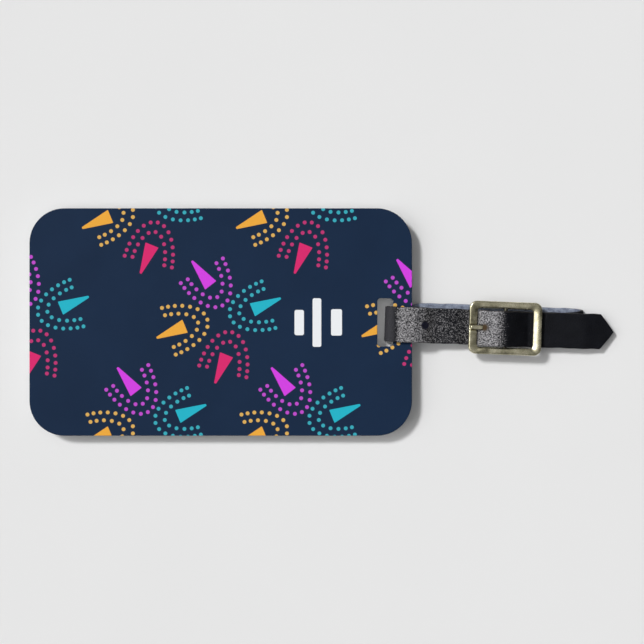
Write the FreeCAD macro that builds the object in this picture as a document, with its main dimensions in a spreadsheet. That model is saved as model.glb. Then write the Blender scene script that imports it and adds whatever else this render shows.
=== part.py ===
import FreeCAD, Part
import math
import os
import Sketcher

# Luggage tag: a printed acrylic tag with a card pocket behind it, on a leather strap with a buckle.
# Origin: centre of the tag's back face. +X runs from the tag along the strap, +Z out of the printed face.
Vector = FreeCAD.Vector
TINY = 0.001

# Driving dimensions: alias, millimetres or degrees, what it is.
DIMENSIONS = [
    ("tag_length", 101.6, "tag, along X"),
    ("tag_width", 60.4, "tag, along Y"),
    ("tag_corner", 9.25, "tag corner radius"),
    ("cover_thickness", 1.2, "clear back cover"),
    ("spacer_thickness", 0.8, "U-shaped spacer that makes the pocket"),
    ("plate_thickness", 2.4, "front plate"),
    ("film_thickness", 0.2, "printed film on the front plate"),
    ("slot_length", 12.8, "strap slot, along Y"),
    ("slot_width", 4.2, "strap slot, along X"),
    ("slot_corner", 0.8, "strap slot corner radius"),
    ("slot_offset", -0.1, "strap slot centre from the tag's centre line"),
    ("web_width", 5.0, "material between the slot and the tag's end"),
    ("pocket_land", 0.6, "from the pocket's end to the slot"),
    ("end_wall", 1.6, "spacer at the pocket's closed end"),
    ("side_wall", 4.5, "spacer beside the card"),
    ("card_thickness", 0.4, "name card"),
    ("card_corner", 3.0, "name card corner radius"),
    ("card_clearance", 0.3, "card to each pocket wall"),
    ("card_lift", 0.2, "card above the back cover"),
    ("card_inset", 1.0, "card end inside the tag's open end"),
    ("notch_radius", 9.0, "thumb notch in the back cover"),
    ("strap_width", 9.4, "leather strap"),
    ("strap_thickness", 1.0, "leather strap"),
    ("strap_skew", -2.1, "the strap lies turned by this much about the slot"),
    ("strap_offset", -0.57, "strap centre line in the slot"),
    ("lower_shift", 1.0, "handle loop beside the free run"),
    ("layer_gap", 0.1, "between two layers of leather"),
    ("web_gap", 0.3, "leather above the tag's face"),
    ("loop_reach", 2.16, "outside of the slot loop from the slot's right edge"),
    ("loop_bend", 1.3, "slot loop bend radius, at the middle of the leather"),
    ("flex_inset", 0.7, "start of the flexing stretch inside the tag's end"),
    ("flex_length", 3.0, "flexing stretch beside the tag"),
    ("pin_reach", 24.8, "buckle pin from the tag's end"),
    ("pin_radius", 0.6, "buckle pin"),
    ("pin_seat", 1.3, "pin end inside each rail"),
    ("frame_length", 19.4, "buckle frame, along X"),
    ("window_clearance", 0.45, "strap to each rail of the buckle frame"),
    ("frame_thickness", 1.6, "buckle frame, along Z"),
    ("rail_width", 1.9, "buckle frame side rails"),
    ("catch_bar", 2.2, "buckle bar that the prong rests on"),
    ("keeper_bar", 2.3, "buckle bar over the strap's tip"),
    ("frame_corner", 2.0, "buckle outer corner radius"),
    ("window_corner", 0.9, "buckle inner corner radius"),
    ("frame_round", 0.45, "rounding of the buckle's outer edges"),
    ("bar_gap", 0.35, "leather to the keeper bar above it"),
    ("catch_gap", 0.7, "leather to the catch bar above it"),
    ("catch_notch", 0.25, "depth of the prong's notch in the catch bar"),
    ("notch_clearance", 0.1, "prong to each side of its notch"),
    ("rest_gap", 0.05, "prong to the notch's floor"),
    ("fold_clearance", 0.1, "leather fold around the pin"),
    ("fold_thickness", 0.6, "skived leather of the fold"),
    ("fold_leg", 5.0, "length of the skived fold beyond the pin"),
    ("fold_lap", 0.4, "upper leg of the fold over the handle loop's end"),
    ("fold_gather", 1.95, "from the prong's eye to where the fold's legs meet"),
    ("fold_ease", 0.8, "bends where the fold's legs come together"),
    ("crest_gap", 0.15, "free run over the fold"),
    ("eye_clearance", 0.05, "prong eye on the pin"),
    ("eye_wall", 0.6, "prong eye"),
    ("eye_width", 1.8, "prong eye, along Y"),
    ("prong_width", 1.3, "prong, along Y"),
    ("prong_thickness", 0.9, "prong, along Z"),
    ("prong_tip_inset", 0.35, "prong tip inside the frame's outline"),
    ("prong_clearance", 0.35, "prong to the sides of its cuts"),
    ("prong_hole_length", 4.0, "prong's hole in the rising strap, along X"),
    ("prong_hole_lead", 0.45, "that hole's middle from where strap and prong cross"),
    ("web_run_out", 0.5, "free run level beyond the flexing stretch"),
    ("drop_length", 2.9, "steep drop of the free run beside the tag"),
    ("middle_height", 3.3, "middle of the free run between the drop and the catch bar"),
    ("dip_length", 3.0, "dip from there to the level under the catch bar"),
    ("dip_run_in", 0.6, "free run level before the catch bar"),
    ("rise_start", 0.25, "free run starts to rise beyond the catch bar"),
    ("rise_length", 2.7, "steep rise towards the fold"),
    ("shoulder_drop", 0.5, "top of that rise below the crest"),
    ("crest_before", 1.2, "crest before the pin"),
    ("crest_after", 0.8, "crest beyond the pin"),
    ("keeper_run_in", 1.0, "free run level before the keeper bar"),
    ("easy_bend", 4.0, "gentle bends of the free run"),
    ("tight_bend", 1.1, "tight bends of the free run"),
    ("droop_bend", 8.0, "bend where the tip starts to droop"),
    ("hole_radius", 1.05, "punched adjusting hole"),
    ("hole_reach", 21.3, "adjusting hole from the pin"),
    ("handle_reach", 21.2, "end of the handle loop from the pin"),
    ("tip_reach", 29.15, "strap tip from the pin"),
    ("tip_point", 3.5, "length of the pointed tip"),
    ("tip_droop", 1.1, "strap tip below the keeper bar's level"),
    ("thread", 0.3, "stitching thread"),
    ("stitch_length", 1.5, "one stitch, along Y"),
    ("stitch_pitch", 2.2, "stitch to stitch"),
    ("stitch_inset", 1.0, "stitches from the end of the fold's upper leg"),
    ("stitch_count", 4, "stitches across the fold"),
]

doc = FreeCAD.newDocument("luggage_tag")
sheet = doc.addObject("Spreadsheet::Sheet", "Sizes")
for row, (alias, value, note) in enumerate(DIMENSIONS, start=1):
    sheet.set(f"A{row}", note)
    sheet.set(f"B{row}", str(value))
    sheet.setAlias(f"B{row}", alias)
doc.recompute()
size = {alias: float(sheet.get(alias)) for alias, value, note in DIMENSIONS}


# ---- helpers -------------------------------------------------------------------------------

def new_body(label):
    body = doc.addObject("PartDesign::Body", label)
    body.Label = label
    return body


def new_sketch(body, name, plane, height=None):
    """A sketch on one of the body's own origin planes, raised by the expression in height."""
    sketch = body.newObject("Sketcher::SketchObject", f"{body.Name}_{name}")
    roles = {feature.Role: feature for feature in body.Origin.OriginFeatures}
    sketch.AttachmentSupport = [(roles[plane], "")]
    sketch.MapMode = "FlatFace"
    if height:
        sketch.setExpression("AttachmentOffset.Base.z", height)
    return sketch


def drive(sketch, kind, geometry, expression, name):
    """A driving constraint whose value comes from the sheet."""
    index = sketch.addConstraint(Sketcher.Constraint(kind, *geometry, 1.0))
    sketch.renameConstraint(index, name)
    sketch.setExpression(f"Constraints.{name}", expression)


def rectangle(sketch, left, right, bottom, top):
    """A closed rectangle between four lines, each an expression."""
    corners = [Vector(-1, -1, 0), Vector(1, -1, 0), Vector(1, 1, 0), Vector(-1, 1, 0)]
    for i in range(4):
        sketch.addGeometry(Part.LineSegment(corners[i], corners[(i + 1) % 4]), False)
    for i in range(4):
        sketch.addConstraint(Sketcher.Constraint("Coincident", i, 2, (i + 1) % 4, 1))
    for i, kind in enumerate(["Horizontal", "Vertical", "Horizontal", "Vertical"]):
        sketch.addConstraint(Sketcher.Constraint(kind, i))
    drive(sketch, "DistanceX", (-1, 1, 0, 1), left, "left")
    drive(sketch, "DistanceX", (-1, 1, 2, 1), right, "right")
    drive(sketch, "DistanceY", (-1, 1, 0, 1), bottom, "bottom")
    drive(sketch, "DistanceY", (-1, 1, 2, 1), top, "top")


def circle(sketch, middle_x, middle_y, radius):
    """A circle whose place and radius are expressions."""
    index = sketch.addGeometry(Part.Circle(Vector(0, 0, 0), Vector(0, 0, 1), 1.0), False)
    drive(sketch, "Radius", (index,), radius, "radius")
    drive(sketch, "DistanceX", (-1, 1, index, 3), middle_x, "across")
    drive(sketch, "DistanceY", (-1, 1, index, 3), middle_y, "up")


def pad(body, sketch, length, symmetric=False):
    feature = body.newObject("PartDesign::Pad", f"{sketch.Name}_pad")
    feature.Profile = sketch
    feature.setExpression("Length", length)
    if symmetric:
        feature.SideType = "Symmetric"
    sketch.Visibility = False
    doc.recompute()
    return feature


def pocket(body, sketch):
    """A cut right through the body, both ways from its sketch."""
    before = body.Shape.Volume
    feature = body.newObject("PartDesign::Pocket", f"{sketch.Name}_pocket")
    feature.Profile = sketch
    feature.SideType = "Symmetric"
    feature.Type = "ThroughAll"
    doc.recompute()
    if not body.Shape.Volume < before:
        raise RuntimeError(f"{feature.Name} cuts nothing")
    return feature


def round_edges(body, name, radius, chosen):
    """A fillet on the edges for which chosen(edge) holds."""
    base = body.Tip
    edges = [f"Edge{i}" for i, edge in enumerate(base.Shape.Edges, start=1) if chosen(edge)]
    feature = body.newObject("PartDesign::Fillet", f"{body.Name}_{name}")
    feature.Base = (base, edges)
    feature.setExpression("Radius", radius)
    doc.recompute()
    return feature


def upright(edge):
    ends = [vertex.Point for vertex in edge.Vertexes]
    return len(ends) == 2 and math.hypot(ends[0].x - ends[1].x, ends[0].y - ends[1].y) < TINY


def ribbon_outline(route, bends, thickness):
    """Edges of an even strip along a route of (x, z) points, each corner an arc of its bend radius."""
    points = [Vector(x, z, 0) for x, z in route]
    half = thickness / 2
    sides = []
    for side in (half, -half):
        edges = []
        start = None
        for i in range(len(points) - 1):
            along = (points[i + 1] - points[i]).normalize()
            normal = Vector(-along.y, along.x, 0)
            if start is None:
                start = points[i] + normal * side
            if i + 2 == len(points):
                edges.append(Part.LineSegment(start, points[i + 1] + normal * side))
                break
            after = (points[i + 2] - points[i + 1]).normalize()
            turn = math.atan2(along.x * after.y - along.y * after.x, along.dot(after))
            bend = bends[i]
            reach = bend * math.tan(abs(turn) / 2)
            centre = points[i + 1] - along * reach + normal * math.copysign(bend, turn)
            radius = bend - math.copysign(1, turn) * side
            first = -math.copysign(1, turn) * normal
            middle = FreeCAD.Rotation(Vector(0, 0, 1), math.degrees(turn / 2)).multVec(first)
            last = FreeCAD.Rotation(Vector(0, 0, 1), math.degrees(turn)).multVec(first)
            corner = [centre + direction * radius for direction in (first, middle, last)]
            edges.append(Part.LineSegment(start, corner[0]))
            edges.append(Part.Arc(*corner))
            start = corner[2]
        sides.append(edges)
    left, right = sides
    caps = [Part.LineSegment(left[-1].EndPoint, right[-1].EndPoint),
            Part.LineSegment(right[0].StartPoint, left[0].StartPoint)]
    return left + [caps[0]] + right + [caps[1]]


def lay_on_strap(piece, shift=0.0):
    """Turns a piece that is drawn along X about the slot, and moves it sideways onto the strap."""
    pivot = Vector(slot_right, 0, 0)
    turn = FreeCAD.Rotation(Vector(0, 0, 1), size["strap_skew"])
    offset = Vector(0, size["strap_offset"], 0) + turn.multVec(Vector(0, shift, 0))
    piece.Placement = FreeCAD.Placement(pivot + offset - turn.multVec(pivot), turn).multiply(piece.Placement)


def strap_piece(label, route, bends, thickness, shift=0.0):
    """A length of leather: its side view on the XZ plane, padded both ways to the strap's width."""
    body = new_body(label)
    sketch = new_sketch(body, "side_view", "XZ_Plane")
    sketch.addGeometry(ribbon_outline(route, bends, thickness), False)
    pad(body, sketch, "Sizes.strap_width", symmetric=True)
    lay_on_strap(body, shift)
    return body


# ---- places worked out from the driving dimensions -------------------------------------------

tag_end = size["tag_length"] / 2
slot_right = tag_end - size["web_width"]
pocket_top = size["cover_thickness"] + size["spacer_thickness"]
tag_top = pocket_top + size["plate_thickness"] + size["film_thickness"]
leather = size["strap_thickness"]
lower_z = leather / 2
fixed_z = lower_z + leather + size["layer_gap"]
fixed_top = fixed_z + leather / 2
tip_z = fixed_top + size["layer_gap"] + leather / 2
over_z = tag_top + size["web_gap"] + leather / 2
flex_start = tag_end - size["flex_inset"]
flex_end = flex_start + size["flex_length"]
pin_x = tag_end + size["pin_reach"]
frame_bottom = tip_z + leather / 2 + size["bar_gap"]
frame_top = frame_bottom + size["frame_thickness"]
pin_z = (frame_bottom + frame_top) / 2
frame_left = pin_x - size["frame_length"] / 2
catch_right = frame_left + size["catch_bar"]
keeper_left = pin_x + size["frame_length"] / 2 - size["keeper_bar"]
pin_half = size["strap_width"] / 2 + size["window_clearance"] + size["pin_seat"]
under_catch_z = frame_bottom - size["catch_gap"] - leather / 2
fold_bend = size["pin_radius"] + size["fold_clearance"] + size["fold_thickness"] / 2
crest_z = pin_z + fold_bend + size["fold_thickness"] / 2 + size["crest_gap"] + leather / 2
eye_bore = size["pin_radius"] + size["eye_clearance"]
eye_radius = eye_bore + size["eye_wall"]
prong_rest = frame_top - size["catch_notch"] + size["rest_gap"] + size["prong_thickness"] / 2
prong_slope = math.atan2(prong_rest - pin_z, pin_x - catch_right)
rise_foot = catch_right + size["rise_start"]
shoulder_z = crest_z - size["shoulder_drop"]
rise = (shoulder_z - under_catch_z) / size["rise_length"]
fall = math.tan(prong_slope)
crossing_x = (pin_z - under_catch_z + rise * rise_foot + fall * pin_x) / (rise + fall)
prong_hole = crossing_x + size["prong_hole_lead"]

# The same places as expressions, for sketches that follow the sheet.
SLOT_RIGHT = "Sizes.tag_length / 2 - Sizes.web_width"
POCKET_END = f"{SLOT_RIGHT} - Sizes.slot_width - Sizes.pocket_land"
PIN_X = "Sizes.tag_length / 2 + Sizes.pin_reach"
WINDOW_HALF = "(Sizes.strap_width / 2 + Sizes.window_clearance)"
EYE_BORE = "(Sizes.pin_radius + Sizes.eye_clearance)"


# ---- the tag ---------------------------------------------------------------------------------

def tag_layer(label, height, thickness, with_slot):
    """A layer of the tag: with the slot it reaches the tag's end, without it stops at the pocket's end."""
    body = new_body(label)
    sketch = new_sketch(body, "outline", "XY_Plane", height)
    rectangle(sketch, "-Sizes.tag_length / 2", "Sizes.tag_length / 2",
              "-Sizes.tag_width / 2", "Sizes.tag_width / 2")
    pad(body, sketch, thickness)
    round_edges(body, "corners", "Sizes.tag_corner", upright)
    cut = new_sketch(body, "end_cut", "XY_Plane")
    if with_slot:
        rectangle(cut, f"{SLOT_RIGHT} - Sizes.slot_width", SLOT_RIGHT,
                  "Sizes.slot_offset - Sizes.slot_length / 2", "Sizes.slot_offset + Sizes.slot_length / 2")
        pocket(body, cut)
        middle, half = size["slot_offset"], size["slot_length"] / 2
        round_edges(body, "slot_corners", "Sizes.slot_corner",
                    lambda edge: upright(edge) and abs(abs(edge.CenterOfMass.y - middle) - half) < TINY)
    else:
        rectangle(cut, POCKET_END, "Sizes.tag_length", "-Sizes.tag_width", "Sizes.tag_width")
        pocket(body, cut)
    return body


def front_plate():
    height = "Sizes.cover_thickness + Sizes.spacer_thickness"
    return tag_layer("front_plate", height, "Sizes.plate_thickness", True)


def print_film():
    height = "Sizes.cover_thickness + Sizes.spacer_thickness + Sizes.plate_thickness"
    return tag_layer("print_film", height, "Sizes.film_thickness", True)


def card_spacer_frame():
    """The layer between plate and cover, cut away where the card slides, open at the tag's far end."""
    body = tag_layer("card_spacer_frame", "Sizes.cover_thickness", "Sizes.spacer_thickness", False)
    room = new_sketch(body, "card_room", "XY_Plane")
    rectangle(room, "-Sizes.tag_length", f"{POCKET_END} - Sizes.end_wall",
              "-Sizes.tag_width / 2 + Sizes.side_wall", "Sizes.tag_width / 2 - Sizes.side_wall")
    pocket(body, room)
    return body


def back_cover():
    """The clear back of the pocket, with a half-round thumb notch at its open end."""
    body = tag_layer("back_cover", "0", "Sizes.cover_thickness", False)
    notch = new_sketch(body, "thumb_notch", "XY_Plane")
    circle(notch, "-Sizes.tag_length / 2", "0", "Sizes.notch_radius")
    pocket(body, notch)
    return body


def id_card():
    """A name card that fills the pocket, less its clearance."""
    body = new_body("id_card")
    outline = new_sketch(body, "outline", "XY_Plane", "Sizes.cover_thickness + Sizes.card_lift")
    rectangle(outline, "-Sizes.tag_length / 2 + Sizes.card_inset",
              f"{POCKET_END} - Sizes.end_wall - Sizes.card_clearance",
              "-Sizes.tag_width / 2 + Sizes.side_wall + Sizes.card_clearance",
              "Sizes.tag_width / 2 - Sizes.side_wall - Sizes.card_clearance")
    pad(body, outline, "Sizes.card_thickness")
    round_edges(body, "corners", "Sizes.card_corner", upright)
    return body


# ---- the strap -------------------------------------------------------------------------------

def strap_slot_loop():
    """From under the web, up through the slot and back over the web."""
    left = slot_right - size["loop_reach"] + leather / 2
    route = [(flex_start, lower_z), (left, lower_z), (left, over_z), (flex_start, over_z)]
    return strap_piece("strap_slot_loop", route, [size["loop_bend"]] * 2, leather)


def strap_flex(label, height):
    """A short length beside the tag that bends when the strap swings."""
    return strap_piece(label, [(flex_start, height), (flex_end, height)], [], leather)


def strap_handle_loop():
    """Along the ground under the buckle, round the handle end and back above itself to the buckle's fold."""
    end = pin_x + size["handle_reach"] - leather / 2
    fold_joint = pin_x + size["fold_leg"] - size["fold_lap"]
    route = [(flex_end, lower_z), (end, lower_z), (end, fixed_z), (fold_joint, fixed_z)]
    turn = (fixed_z - lower_z) / 2 - TINY
    return strap_piece("strap_handle_loop", route, [turn, turn], leather, size["lower_shift"])


def strap_buckle_fold():
    """Skived leather round the buckle pin, cut away for the prong's eye. Both legs meet the handle loop."""
    skived = size["fold_thickness"]
    lower_leg = fixed_top - skived / 2
    upper_leg = fixed_top + skived / 2 + TINY
    leg_end = pin_x + size["fold_leg"]
    meet = pin_x + eye_radius + size["fold_gather"]
    left = pin_x - fold_bend
    over_pin = pin_x + size["pin_radius"] / 2
    route = [(leg_end - size["fold_lap"], lower_leg), (meet, lower_leg), (over_pin, pin_z - fold_bend),
             (left, pin_z - fold_bend), (left, pin_z + fold_bend), (over_pin, pin_z + fold_bend),
             (meet + size["fold_lap"], upper_leg), (leg_end, upper_leg)]
    ease, round_pin = size["fold_ease"], fold_bend - TINY
    bends = [ease, ease, round_pin, round_pin, skived, skived]
    body = strap_piece("strap_buckle_fold", route, bends, skived)
    slot = new_sketch(body, "prong_slot", "XY_Plane")
    reach = f"({EYE_BORE} + Sizes.eye_wall + Sizes.prong_clearance)"
    half = "(Sizes.eye_width / 2 + Sizes.prong_clearance)"
    rectangle(slot, f"{PIN_X} - 2 * {reach}", f"{PIN_X} + {reach}", f"-{half}", half)
    pocket(body, slot)
    return body


def strap_free_run():
    """From the tag under the catch bar, over the fold, under the keeper bar and out to the pointed tip."""
    tip_x = pin_x + size["tip_reach"]
    drop = flex_end + size["web_run_out"]
    dip = frame_left - size["dip_run_in"]
    middle = size["middle_height"]
    route = [(flex_end, over_z), (drop, over_z), (drop + size["drop_length"], middle),
             (dip - size["dip_length"], middle), (dip, under_catch_z), (rise_foot, under_catch_z),
             (rise_foot + size["rise_length"], shoulder_z), (pin_x - size["crest_before"], crest_z),
             (pin_x + size["crest_after"], crest_z), (keeper_left - size["keeper_run_in"], tip_z),
             (pin_x + size["handle_reach"], tip_z), (tip_x, tip_z - size["tip_droop"])]
    easy, tight = size["easy_bend"], size["tight_bend"]
    bends = [tight, 2 * tight, easy, easy, tight, tight, easy, 2 * tight, tight, size["droop_bend"]]
    body = strap_piece("strap_free_run", route, bends, leather)
    opening = new_sketch(body, "prong_hole", "XY_Plane")
    half = "(Sizes.prong_width / 2 + Sizes.prong_clearance)"
    rectangle(opening, f"{prong_hole} - Sizes.prong_hole_length / 2",
              f"{prong_hole} + Sizes.prong_hole_length / 2", f"-{half}", half)
    pocket(body, opening)
    spare = new_sketch(body, "spare_hole", "XY_Plane")
    circle(spare, f"{PIN_X} - Sizes.hole_reach", "0", "Sizes.hole_radius")
    pocket(body, spare)
    point = new_sketch(body, "point", "XY_Plane")
    shoulder = tip_x - size["tip_point"]
    for side in (size["strap_width"], -size["strap_width"]):
        corners = [Vector(shoulder, side / 2, 0), Vector(tip_x, 0, 0), Vector(tip_x + leather, 0, 0),
                   Vector(tip_x + leather, side, 0), Vector(shoulder, side, 0)]
        for i, corner in enumerate(corners):
            point.addGeometry(Part.LineSegment(corner, corners[(i + 1) % len(corners)]), False)
    pocket(body, point)
    return body


def fold_stitches():
    """Thread pulled into both legs of the fold: one rectangular loop for each stitch."""
    thread = size["thread"]
    top = fixed_top + size["fold_thickness"] + thread / 2
    bottom = fixed_top - size["fold_thickness"] - thread / 2
    left = pin_x + size["fold_leg"] - size["stitch_inset"] - thread / 2
    loops = []
    for i in range(int(size["stitch_count"])):
        middle = (i - (size["stitch_count"] - 1) / 2) * size["stitch_pitch"]
        outside = doc.addObject("Part::Box", f"stitch_outside_{i}")
        outside.setExpression("Length", "Sizes.thread")
        outside.setExpression("Width", "Sizes.stitch_length")
        outside.Height = top - bottom
        outside.Placement.Base = Vector(left, middle - size["stitch_length"] / 2, bottom)
        inside = doc.addObject("Part::Box", f"stitch_inside_{i}")
        inside.setExpression("Length", "3 * Sizes.thread")
        inside.setExpression("Width", "Sizes.stitch_length - 2 * Sizes.thread")
        inside.Height = top - bottom - 2 * thread
        inside.Placement.Base = outside.Placement.Base + Vector(-thread, thread, thread)
        loop = doc.addObject("Part::Cut", f"stitch_{i}")
        loop.Base = outside
        loop.Tool = inside
        loops.append(loop)
    group = doc.addObject("Part::Compound", "fold_stitches")
    group.Label = "fold_stitches"
    group.Links = loops
    lay_on_strap(group)
    return group


# ---- the buckle ------------------------------------------------------------------------------

def cut_from(body, sketch, length, **ways):
    """A cut of a given length from its sketch."""
    before = body.Shape.Volume
    feature = body.newObject("PartDesign::Pocket", f"{sketch.Name}_pocket")
    feature.Profile = sketch
    for name, value in ways.items():
        setattr(feature, name, value)
    feature.setExpression("Length", length)
    doc.recompute()
    if not body.Shape.Volume < before:
        raise RuntimeError(f"{feature.Name} cuts nothing")


def buckle_frame():
    """A rectangular frame with a round seat for the pin in each rail and a notch for the prong's tip."""
    body = new_body("buckle_frame")
    outline = new_sketch(body, "outline", "XY_Plane", str(frame_bottom))
    outer = f"({WINDOW_HALF} + Sizes.rail_width)"
    rectangle(outline, f"{PIN_X} - Sizes.frame_length / 2", f"{PIN_X} + Sizes.frame_length / 2",
              f"-{outer}", outer)
    pad(body, outline, "Sizes.frame_thickness")
    round_edges(body, "corners", "Sizes.frame_corner", upright)
    round_edges(body, "rim", "Sizes.frame_round", lambda edge: edge.BoundBox.ZLength < TINY)
    window = new_sketch(body, "window", "XY_Plane")
    rectangle(window, f"{PIN_X} - Sizes.frame_length / 2 + Sizes.catch_bar",
              f"{PIN_X} + Sizes.frame_length / 2 - Sizes.keeper_bar", f"-{WINDOW_HALF}", WINDOW_HALF)
    pocket(body, window)
    window_half = pin_half - size["pin_seat"]
    round_edges(body, "window_corners", "Sizes.window_corner",
                lambda edge: upright(edge) and abs(abs(edge.CenterOfMass.y) - window_half) < TINY)
    seats = new_sketch(body, "pin_seats", "XZ_Plane")
    circle(seats, PIN_X, str(pin_z), "Sizes.pin_radius")
    cut_from(body, seats, f"2 * ({WINDOW_HALF} + Sizes.pin_seat)", SideType="Symmetric")
    notch = new_sketch(body, "prong_notch", "YZ_Plane")
    half = "(Sizes.prong_width / 2 + Sizes.notch_clearance)"
    rectangle(notch, f"-{half}", half,
              f"{frame_top} - Sizes.catch_notch", f"{frame_top} + Sizes.catch_notch")
    cut_from(body, notch, PIN_X, Reversed=True)
    lay_on_strap(body)
    return body


def buckle_pin():
    """The centre bar, pressed into the frame's rails."""
    pin = doc.addObject("Part::Cylinder", "buckle_pin")
    pin.Label = "buckle_pin"
    pin.setExpression("Radius", "Sizes.pin_radius")
    pin.setExpression("Height", f"2 * ({WINDOW_HALF} + Sizes.pin_seat)")
    pin.Placement = FreeCAD.Placement(Vector(pin_x, pin_half, pin_z), FreeCAD.Rotation(Vector(1, 0, 0), 90))
    lay_on_strap(pin)
    return pin


def buckle_prong():
    """An eye round the pin and a straight tongue whose tip lies in the catch bar's notch."""
    body = new_body("buckle_prong")
    half = size["prong_thickness"] / 2
    along = Vector(-math.cos(prong_slope), math.sin(prong_slope), 0)
    across = Vector(-along.y, along.x, 0)
    pin = Vector(pin_x, pin_z, 0)
    reach = size["frame_length"] / 2 - size["prong_tip_inset"]
    root, neck = eye_bore + size["eye_wall"] / 2, reach - half
    corners = [pin + along * distance + across * side
               for distance, side in ((root, half), (neck, half), (neck, -half), (root, -half))]
    tongue = new_sketch(body, "tongue", "XZ_Plane")
    edges = [Part.LineSegment(corners[0], corners[1]), Part.Arc(corners[1], pin + along * reach, corners[2]),
             Part.LineSegment(corners[2], corners[3]), Part.LineSegment(corners[3], corners[0])]
    tongue.addGeometry(edges, False)
    pad(body, tongue, "Sizes.prong_width", symmetric=True)
    eye = new_sketch(body, "eye", "XZ_Plane")
    circle(eye, PIN_X, str(pin_z), f"{EYE_BORE} + Sizes.eye_wall")
    pad(body, eye, "Sizes.eye_width", symmetric=True)
    bore = new_sketch(body, "bore", "XZ_Plane")
    circle(bore, PIN_X, str(pin_z), EYE_BORE)
    pocket(body, bore)
    lay_on_strap(body)
    return body


pieces = [
    front_plate(),
    print_film(),
    card_spacer_frame(),
    back_cover(),
    id_card(),
    strap_slot_loop(),
    strap_flex("strap_flex_top", over_z),
    strap_flex("strap_flex_bottom", lower_z),
    strap_handle_loop(),
    strap_buckle_fold(),
    fold_stitches(),
    strap_free_run(),
    buckle_frame(),
    buckle_pin(),
    buckle_prong(),
]

doc.recompute()
for item in doc.Objects:
    if {"Invalid", "Error"} & set(item.State):
        raise RuntimeError(f"{item.Name} failed: {item.State}")
for piece in pieces:
    if piece.Shape.isNull() or not piece.Shape.isValid():
        raise RuntimeError(f"{piece.Label} has no valid shape")

os.makedirs("parts", exist_ok=True)
for piece in pieces:
    piece.Shape.exportStep(f"parts/{piece.Label}.step")
    print(f"{piece.Label:20s} solids {len(piece.Shape.Solids)} volume {piece.Shape.Volume:9.2f} mm3")
print(f"pin at x {pin_x:.2f} z {pin_z:.2f}, frame z {frame_bottom:.2f} to {frame_top:.2f}, "
      f"crest {crest_z:.2f}, prong hole at x {prong_hole:.2f}")
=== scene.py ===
import math

import bmesh
import bpy
import numpy as np
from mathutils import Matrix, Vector


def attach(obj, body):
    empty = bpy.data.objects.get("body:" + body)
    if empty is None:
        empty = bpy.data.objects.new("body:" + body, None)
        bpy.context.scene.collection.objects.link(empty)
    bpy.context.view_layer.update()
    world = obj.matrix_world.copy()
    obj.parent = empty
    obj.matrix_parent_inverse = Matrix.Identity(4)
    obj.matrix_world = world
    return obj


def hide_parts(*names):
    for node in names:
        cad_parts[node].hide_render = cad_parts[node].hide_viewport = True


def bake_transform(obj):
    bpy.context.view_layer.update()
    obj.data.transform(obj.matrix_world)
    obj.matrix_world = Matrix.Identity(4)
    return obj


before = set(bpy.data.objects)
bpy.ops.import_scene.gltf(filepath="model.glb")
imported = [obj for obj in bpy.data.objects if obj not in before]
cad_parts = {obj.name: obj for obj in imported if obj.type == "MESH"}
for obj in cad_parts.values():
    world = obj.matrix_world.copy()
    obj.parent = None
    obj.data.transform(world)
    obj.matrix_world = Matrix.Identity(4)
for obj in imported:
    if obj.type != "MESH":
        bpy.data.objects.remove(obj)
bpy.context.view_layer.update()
print("frame loaded")

# Sizes are in millimetres until a mesh is made.
mm = 0.001
skew = {"pivotX": 45.8, "offsetY": -0.57, "degrees": -2.1}


def layOnStrap(points):
    # A turn by the skew about the slot, then a small step sideways.
    turn = math.radians(skew["degrees"])
    x, y = points[..., 0] - skew["pivotX"], points[..., 1]
    laid = points.copy()
    laid[..., 0] = skew["pivotX"] + x * math.cos(turn) - y * math.sin(turn)
    laid[..., 1] = skew["offsetY"] + x * math.sin(turn) + y * math.cos(turn)
    return laid


def gridFaces(rings, around, closedRings):
    # Quads between neighbouring rings of a grid, wrapped round each ring.
    ring = np.arange(rings if closedRings else rings - 1)[:, None]
    step = np.arange(around)[None, :]
    after, beside = (ring + 1) % rings, (step + 1) % around
    corners = [ring * around + step, ring * around + beside, after * around + beside, after * around + step]
    return np.stack(np.broadcast_arrays(*corners), axis=-1).reshape(-1, 4)


def newPiece(name, grids, closedRings, materials, faceMaterial=None):
    # One mesh from grids of points (rings, around, 3). Open grids get a flat cap at both ends.
    points, faces, start = [], [], 0
    for grid in grids:
        rings, around = grid.shape[:2]
        points += (grid.reshape(-1, 3) * mm).tolist()
        faces += (gridFaces(rings, around, closedRings) + start).tolist()
        if not closedRings:
            last = start + (rings - 1) * around
            faces += [list(range(start, start + around)), list(range(last, last + around))]
        start += rings * around
    mesh = bpy.data.meshes.new(name)
    mesh.from_pydata(points, [], faces)
    for material in materials:
        mesh.materials.append(material)
    if faceMaterial is not None:
        mesh.polygons.foreach_set("material_index", faceMaterial)
    shape = bmesh.new()
    shape.from_mesh(mesh)
    bmesh.ops.recalc_face_normals(shape, faces=shape.faces)
    shape.to_mesh(mesh)
    shape.free()
    mesh.shade_smooth()
    piece = bpy.data.objects.new(name, mesh)
    bpy.context.scene.collection.objects.link(piece)
    return piece


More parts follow.
